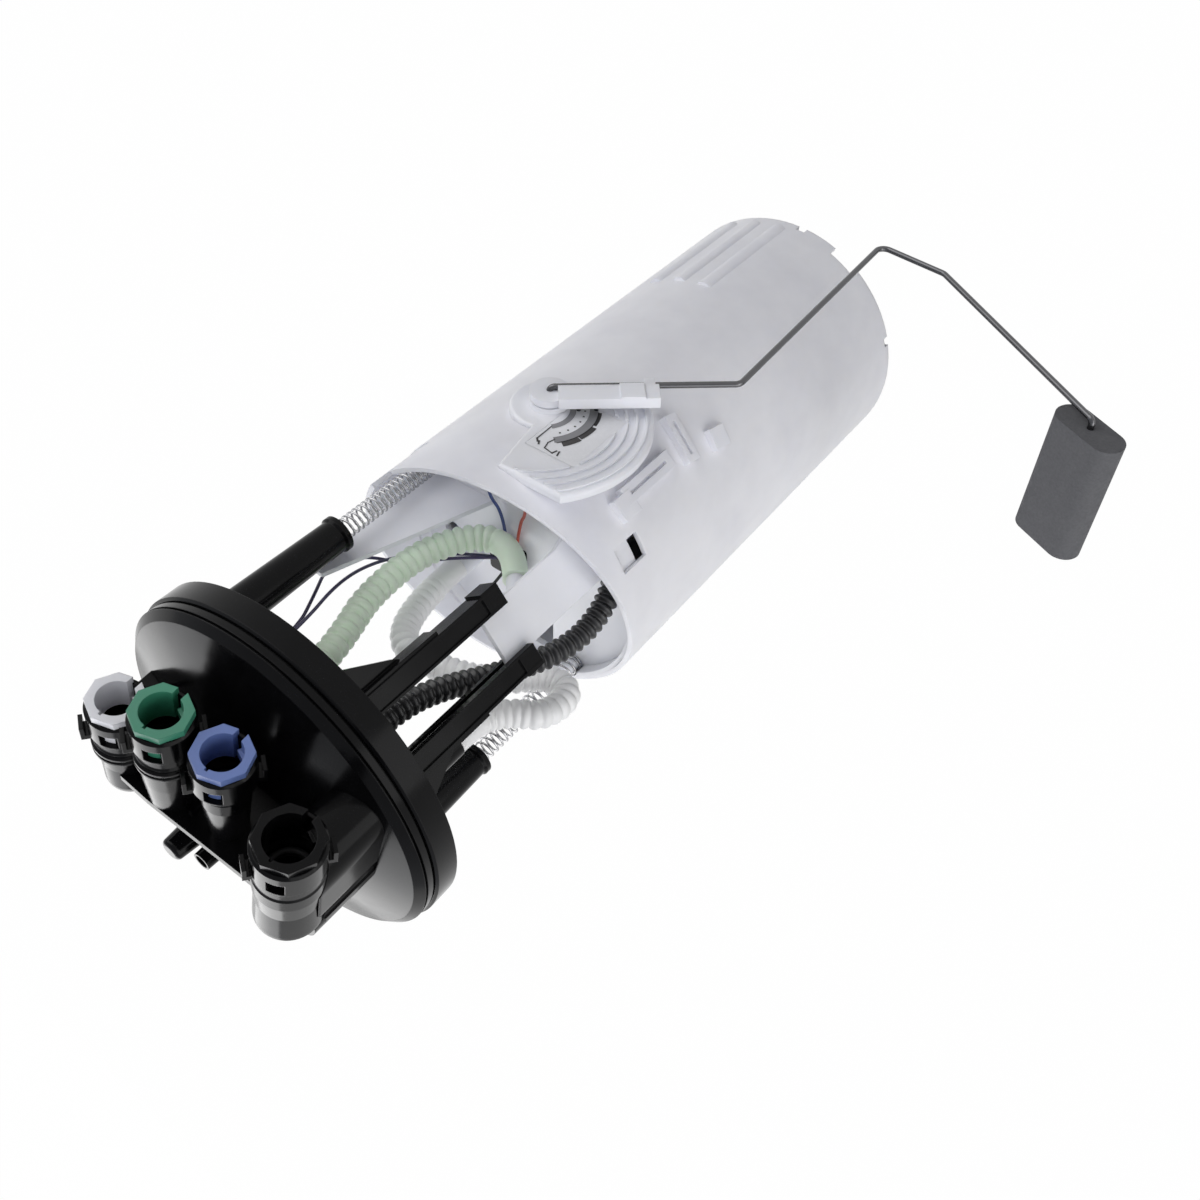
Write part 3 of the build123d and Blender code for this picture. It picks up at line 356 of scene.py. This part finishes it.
# Pot: larger, stronger colour clouds (scale 26, spread 0.075) than the other plastics. They are painted
# shade for the light and shade seen through its translucent wall, on top of its real colour flow.
POT = moulded("pot plastic", (0.885, 0.885, 0.945), 0.36, 0.075, 0.10, 0.45, 0.0004, 26.0,
              Subsurface_Weight=0.3,
              Subsurface_Radius=(0.004, 0.0043, 0.005), Subsurface_Scale=1.0)
LATCH = {
    "white": moulded("white latch", (0.84, 0.84, 0.87), 0.34, 0.05, 0.08, 0.15, 0.0003,
                     Subsurface_Weight=0.15,
                     Subsurface_Radius=(0.002, 0.002, 0.002), Subsurface_Scale=1.0),
    "green": moulded("green latch", (0.045, 0.235, 0.145), 0.36, 0.10, 0.08, 0.15, 0.0003),
    "blue": moulded("blue latch", (0.135, 0.20, 0.46), 0.36, 0.08, 0.08, 0.15, 0.0003),
    "black": BLACK,
}
HOSE = {
    "hose_green": moulded("green hose", (0.78, 0.91, 0.73), 0.42, 0.05, 0.08, 0.10, 0.0,
                          Subsurface_Weight=0.3,
                          Subsurface_Radius=(0.002, 0.003, 0.002), Subsurface_Scale=1.0),
    "hose_cream": moulded("cream hose", (0.93, 0.925, 0.915), 0.42, 0.03, 0.08, 0.10, 0.0,
                          Subsurface_Weight=0.3,
                          Subsurface_Radius=(0.003, 0.003, 0.003), Subsurface_Scale=1.0),
    "hose_black": moulded("black hose", (0.014, 0.014, 0.015), 0.38, 0.3, 0.10, 0.10, 0.0),
}
LEAD = {
    "lead_purple_a": moulded("purple lead", (0.045, 0.035, 0.095), 0.4, 0.2, 0.05, 0.05, 0.0),
    "lead_purple_b": moulded("purple lead two", (0.05, 0.045, 0.10), 0.4, 0.2, 0.05, 0.05, 0.0),
    "lead_black": moulded("black lead", (0.02, 0.02, 0.022), 0.4, 0.2, 0.05, 0.05, 0.0),
    "lead_blue": moulded("blue lead", (0.06, 0.09, 0.26), 0.4, 0.15, 0.05, 0.05, 0.0),
    "lead_red": moulded("red lead", (0.50, 0.09, 0.06), 0.4, 0.15, 0.05, 0.05, 0.0),
}
STEEL = wire_steel("spring steel", (0.46, 0.46, 0.47), 0.22)
WIRE = wire_steel("wire steel", (0.115, 0.115, 0.12), 0.22)
ZINC = wire_steel("zinc plate", (0.55, 0.55, 0.57), 0.34)
BRASS = wire_steel("brass", (0.78, 0.58, 0.28), 0.28)
MAGNET = rubber("magnet", (0.05, 0.05, 0.055))
RUBBER = rubber("rubber")
FOAM = foam("float foam")
MESH = woven("strainer mesh", (0.75, 0.75, 0.72))
CERAMIC = ceramic("ceramic card")
TRACK = moulded("resistor track", (0.24, 0.24, 0.25), 0.5, 0.10, 0.1, 0.0, 0.0)
INK = moulded("dark track", (0.030, 0.028, 0.028), 0.5, 0.2, 0.1, 0.0, 0.0)

FINISH = {
    BLACK: ["flange_cap", "connector_wall", "port_white", "port_green", "port_blue", "port_black",
            "socket_shroud", "nipple_cap", "guide_tube_upper", "guide_tube_lower", "guide_rail_left",
            "guide_rail_right", "pump_plug"],
    POT: ["pot"],
    NATURAL: ["pot_cover", "sender_plate", "arm_holder", "jet_pump", "outlet_riser", "check_valve",
              "pump_top_cap", "pump_inlet_cap", "impeller"],
    WIRE: ["float_wire", "float_lock", "wiper_contact"],
    ZINC: ["pump_can", "pressure_regulator", "armature"],
    BRASS: ["socket_pins", "pump_bearings"],
    RUBBER: ["port_seals", "foot_valve"],
    MAGNET: ["pump_magnets"],
    FOAM: ["float_body"],
    MESH: ["inlet_strainer"],
    CERAMIC: ["resistor_card"],
}


def finish_nodes():
    """Give each shown CAD node its material."""
    for colour, material in LATCH.items():
        FINISH.setdefault(material, []).append(f"latch_{colour}")
    for material, names in FINISH.items():
        for name in names:
            mesh = NODES[name].data
            mesh.materials.clear()
            mesh.materials.append(material)


def hose(name):
    """Corrugated hose along its route, smooth at both ends."""
    radius, points = ROUTES[name]
    pitch, depth, sharp, smooth_start, smooth_end = CORRUGATION[name]
    line, length = evenly(route_line(points), pitch * MM / 10)
    count = len(line) - 1

    def radius_at(i):
        s = length / MM * i / count
        wave = abs(sin(pi * s / pitch)) ** sharp
        start = min(max((s - smooth_start) / pitch, 0.0), 1.0)
        end = min(max((length / MM - smooth_end - s) / pitch, 0.0), 1.0)
        ridged = radius - depth * (1 - wave)
        plain = radius - CUFF_DROP
        share = min(start, end)
        return (plain * (1 - share) + ridged * share) * MM

    piece = link(f"{name}_ridged", tube(name, line, radius_at, 28), HOSE[name])
    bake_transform(piece)
    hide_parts(name)


def lead(name):
    """Insulated wire along its route."""
    radius, points = ROUTES[name]
    line = evenly(route_line(points), LEAD_STEP * MM)[0]
    piece = link(f"{name}_wire", tube(name, line, lambda i: radius * MM, 12), LEAD[name])
    if name in ("lead_blue", "lead_red"):
        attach(piece, "reservoir")
    else:
        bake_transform(piece)
    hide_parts(name)


def coil_spring(name):
    """Wound compression spring with closed end turns."""
    x, y, low, high, pitch = SPRINGS[name]
    closed = 1.5
    wire = SPRING_WIRE * 1.02
    per_turn = 22
    run = high - low - SPRING_WIRE
    open_turns = (run - 2 * closed * wire) / pitch
    turns = open_turns + 2 * closed
    points = []
    for i in range(round(turns * per_turn) + 1):
        turn = i / per_turn
        first = min(turn, closed)
        last = max(0.0, turn - closed - open_turns)
        rise = first * wire + (turn - first - last) * pitch + last * wire
        angle = 2 * pi * turn
        radius = SPRING_R - SPRING_WIRE / 2
        height = low + SPRING_WIRE / 2 + min(rise, run)
        points.append(mm(x + radius * cos(angle), y + radius * sin(angle), height))
    piece = link(f"spring_{name}_wound", tube(name, points, lambda i: SPRING_WIRE / 2 * MM, 8), STEEL)
    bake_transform(piece)
    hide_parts(f"spring_{name}")


# Printed tracks of the sender's card: centre of the arcs in the card's plane, and the plane's y
TRACK_X, TRACK_Z = 3.0, -135.5
CARD_FACE_Y = -59.8
PRINT_T = 0.05


def print_on_card(name, rings, material):
    """Thin printed shape on the card from closed outlines of (x, z) points in mm."""
    vertices, faces = [], []
    for outline in rings:
        base = len(vertices)
        count = len(outline)
        for depth in (0.0, PRINT_T):
            vertices += [mm(x, CARD_FACE_Y - depth, z) for x, z in outline]
        faces.append(tuple(base + i for i in range(count)))
        faces.append(tuple(base + count + i for i in reversed(range(count))))
        for i in range(count):
            j = (i + 1) % count
            faces.append((base + i, base + count + i, base + count + j, base + j))
    mesh = bpy.data.meshes.new(name)
    mesh.from_pydata(vertices, [], faces)
    piece = link(name, mesh, material)
    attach(piece, "reservoir")


def arc_band(inner, outer, start, end, steps=40):
    """Outline of a part of a ring about the tracks' centre; angles in degrees."""
    turns = [radians(start + (end - start) * i / steps) for i in range(steps + 1)]
    out = [(TRACK_X + outer * cos(a), TRACK_Z + outer * sin(a)) for a in turns]
    back = [(TRACK_X + inner * cos(a), TRACK_Z + inner * sin(a)) for a in reversed(turns)]
    return out + back


def stroke(points, width):
    """Outlines of straight runs of a given width between points."""
    runs = []
    for (x0, z0), (x1, z1) in zip(points, points[1:]):
        along = Vector((x1 - x0, z1 - z0)).normalized()
        side = Vector((-along.y, along.x)) * width / 2
        end = along * width / 2
        runs.append([(x0 - end.x + side.x, z0 - end.y + side.y), (x1 + end.x + side.x, z1 + end.y + side.y),
                     (x1 + end.x - side.x, z1 + end.y - side.y), (x0 - end.x - side.x, z0 - end.y - side.y)])
    return runs


def card_prints():
    """Inner track, outer track with a stepped edge, dots between them, and traces to the pads."""
    print_on_card("card_track_inner", [arc_band(9.1, 11.4, 141, 222)], TRACK)
    print_on_card("card_track_outer", [arc_band(16.4, 19.5, 138, 222)], TRACK)
    edge = [arc_band(19.5, outer, start, end, 16)
            for outer, start, end in ((20.9, 190, 212), (21.7, 165, 187), (22.3, 145, 164))]
    edge.append(arc_band(19.5, 19.9, 140, 213))
    print_on_card("card_contacts", edge, INK)
    dots = [arc_band(14.3, 15.0, turn, turn + 2.6, 3) for turn in range(148, 214, 13)]
    print_on_card("card_dots", dots, INK)
    inner_lead = stroke([(-4.9, -129.0), (-5.0, -120.6)], 0.5)
    pads = stroke([(-5.0, -120.6), (-6.2, -119.4)], 0.7) + stroke([(-6.6, -119.8), (-7.4, -118.5)], 0.7)
    outer_lead = stroke([(-10.4, -124.0), (-9.6, -121.1), (-10.5, -118.0), (-14.4, -117.3)], 0.5)
    outer_lead += stroke([(-14.4, -117.6), (-14.9, -119.2)], 0.6)
    outer_lead += stroke([(-16.0, -119.4), (-16.6, -117.4)], 0.6)
    print_on_card("card_traces", inner_lead + pads + outer_lead, INK)


# Share of white that the camera and reflections see on the floor, over its own shading
FLOOR_GLOW = 0.995


def floor():
    """Pale floor under the module, and a low round backdrop, white to the camera."""
    low = CAD_BOX[0].z - 0.0005
    wide, high, rise = 6.0, 2.5, 1.0
    outline = [(0.0, low), (wide - rise, low)]
    for i in range(1, 11):
        turn = radians(9 * i)
        outline.append((wide - rise + rise * sin(turn), low + rise * (1 - cos(turn))))
    outline.append((wide, high))
    sides = 96
    vertices, faces = [], []
    for radius, z in outline[1:]:
        for k in range(sides):
            turn = 2 * pi * k / sides
            vertices.append((radius * cos(turn), radius * sin(turn), z))
    for i in range(len(outline) - 2):
        for k in range(sides):
            a, b = i * sides + k, i * sides + (k + 1) % sides
            faces.append((a, b, b + sides, a + sides))
    faces.append(tuple(range(sides)))
    mesh = bpy.data.meshes.new("floor")
    mesh.from_pydata(vertices, [], faces)
    smooth(mesh)
    material, tree, shader = new_shader("floor", (0.86, 0.86, 0.87), 0.7)
    glow = tree.nodes.new("ShaderNodeEmission")
    glow.inputs["Strength"].default_value = 1.0
    path = tree.nodes.new("ShaderNodeLightPath")
    seen = tree.nodes.new("ShaderNodeMath")
    seen.operation = "MAXIMUM"
    tree.links.new(path.outputs["Is Camera Ray"], seen.inputs[0])
    tree.links.new(path.outputs["Is Glossy Ray"], seen.inputs[1])
    also = tree.nodes.new("ShaderNodeMath")
    also.operation = "MAXIMUM"
    tree.links.new(seen.outputs[0], also.inputs[0])
    tree.links.new(path.outputs["Is Transmission Ray"], also.inputs[1])
    share = tree.nodes.new("ShaderNodeMath")
    share.operation = "MULTIPLY"
    share.inputs[1].default_value = FLOOR_GLOW
    tree.links.new(also.outputs[0], share.inputs[0])
    mix = tree.nodes.new("ShaderNodeMixShader")
    tree.links.new(share.outputs[0], mix.inputs["Fac"])
    tree.links.new(shader.outputs[0], mix.inputs[1])
    tree.links.new(glow.outputs[0], mix.inputs[2])
    tree.links.new(mix.outputs[0], tree.nodes["Material Output"].inputs["Surface"])
    link("floor", mesh, material)


def lamp(name, at, aim, wide, high, watts):
    """Soft lamp at a point, aimed at another; metres."""
    data = bpy.data.lights.new(name, "AREA")
    data.shape = "RECTANGLE"
    data.size = wide
    data.size_y = high
    data.energy = watts
    obj = bpy.data.objects.new(name, data)
    obj.location = at
    obj.rotation_euler = (Vector(aim) - Vector(at)).to_track_quat("-Z", "Y").to_euler()
    bpy.context.scene.collection.objects.link(obj)


def studio():
    """Even pale surround and four soft lamps."""
    world = bpy.data.worlds.new("studio")
    bpy.context.scene.world = world
    world.use_nodes = True
    background = world.node_tree.nodes["Background"]
    background.inputs["Color"].default_value = (0.93, 0.95, 1.0, 1.0)
    background.inputs["Strength"].default_value = 0.65
    middle = (0.0, 0.0, -0.15)
    lamp("key", (0.75, -1.05, 0.05), middle, 1.5, 1.5, 11.8)
    lamp("cap", (0.376, 0.626, 0.345), (0.0, 0.0, 0.02), 0.75, 0.5, 2.2)
    lamp("side", (-1.0, 0.1, 0.25), middle, 1.0, 1.0, 5.2)
    lamp("low", (-0.60, -0.21, -0.17), (-0.03, -0.03, -0.12), 0.4, 0.26, 0.5)


def camera():
    """The photograph's viewpoint."""
    data = bpy.data.cameras.new("camera")
    data.sensor_width = 36.0
    data.lens = CAMERA_LENS
    data.clip_start, data.clip_end = 0.01, 20.0
    obj = bpy.data.objects.new("camera", data)
    up = -CAMERA_DOWN
    turn = Matrix((CAMERA_RIGHT, up, CAMERA_RIGHT.cross(up))).transposed()
    obj.matrix_world = Matrix.Translation(CAMERA_AT) @ turn.to_4x4()
    bpy.context.scene.collection.objects.link(obj)
    bpy.context.scene.camera = obj


camera()
studio()
floor()
finish_nodes()
for name in CORRUGATION:
    hose(name)
for name in LEAD:
    lead(name)
for name in SPRINGS:
    coil_spring(name)
card_prints()
bpy.context.scene.view_settings.view_transform = "Standard"
